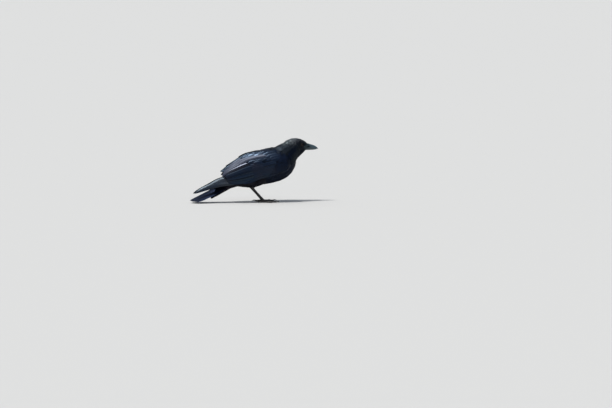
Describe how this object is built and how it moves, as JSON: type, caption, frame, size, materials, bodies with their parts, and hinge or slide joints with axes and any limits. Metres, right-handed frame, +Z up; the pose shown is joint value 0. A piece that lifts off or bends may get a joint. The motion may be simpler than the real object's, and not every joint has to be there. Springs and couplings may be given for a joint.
{
  "type": "carrion crow",
  "caption": "Life-size still crow, standing low on both flat feet with folded wings, sloping body, level head and stout black bill.",
  "frame": {"origin": "on the ground under the middle of the bird's outline", "axes": "+Z up; the bird faces -Y, so +Y runs towards its tail, its left side is +X and its right side -X"},
  "size_m": [0.0978, 0.4338, 0.2129],
  "materials": {
    "plumage": "soft overlapping body feathers, black with a blue gloss",
    "flight_feathers": "smooth stiff vanes, black with a violet-blue sheen",
    "bill_horn": "satin black horn, paler along the ridge",
    "leg_scales": "black scales and pads, satin",
    "claw_horn": "polished black horn",
    "eye": "wet dark brown, mirror-like"
  },
  "bodies": {
    "root": {"head": "plumage", "neck": "plumage", "trunk": "plumage", "tail": "flight_feathers", "bill_upper": "bill_horn", "bill_lower": "bill_horn", "wing_left_coverts": "plumage", "wing_left_secondaries": "flight_feathers", "wing_left_primaries": "flight_feathers", "eye_left": "eye", "thigh_left": "plumage", "shank_left": "leg_scales", "foot_left": "leg_scales", "claw_left_hind": "claw_horn", "claw_left_inner": "claw_horn", "claw_left_middle": "claw_horn", "claw_left_outer": "claw_horn", "wing_right_coverts": "plumage", "wing_right_secondaries": "flight_feathers", "wing_right_primaries": "flight_feathers", "eye_right": "eye", "thigh_right": "plumage", "shank_right": "leg_scales", "foot_right": "leg_scales", "claw_right_hind": "claw_horn", "claw_right_inner": "claw_horn", "claw_right_middle": "claw_horn", "claw_right_outer": "claw_horn"}
  },
  "joints": []
}
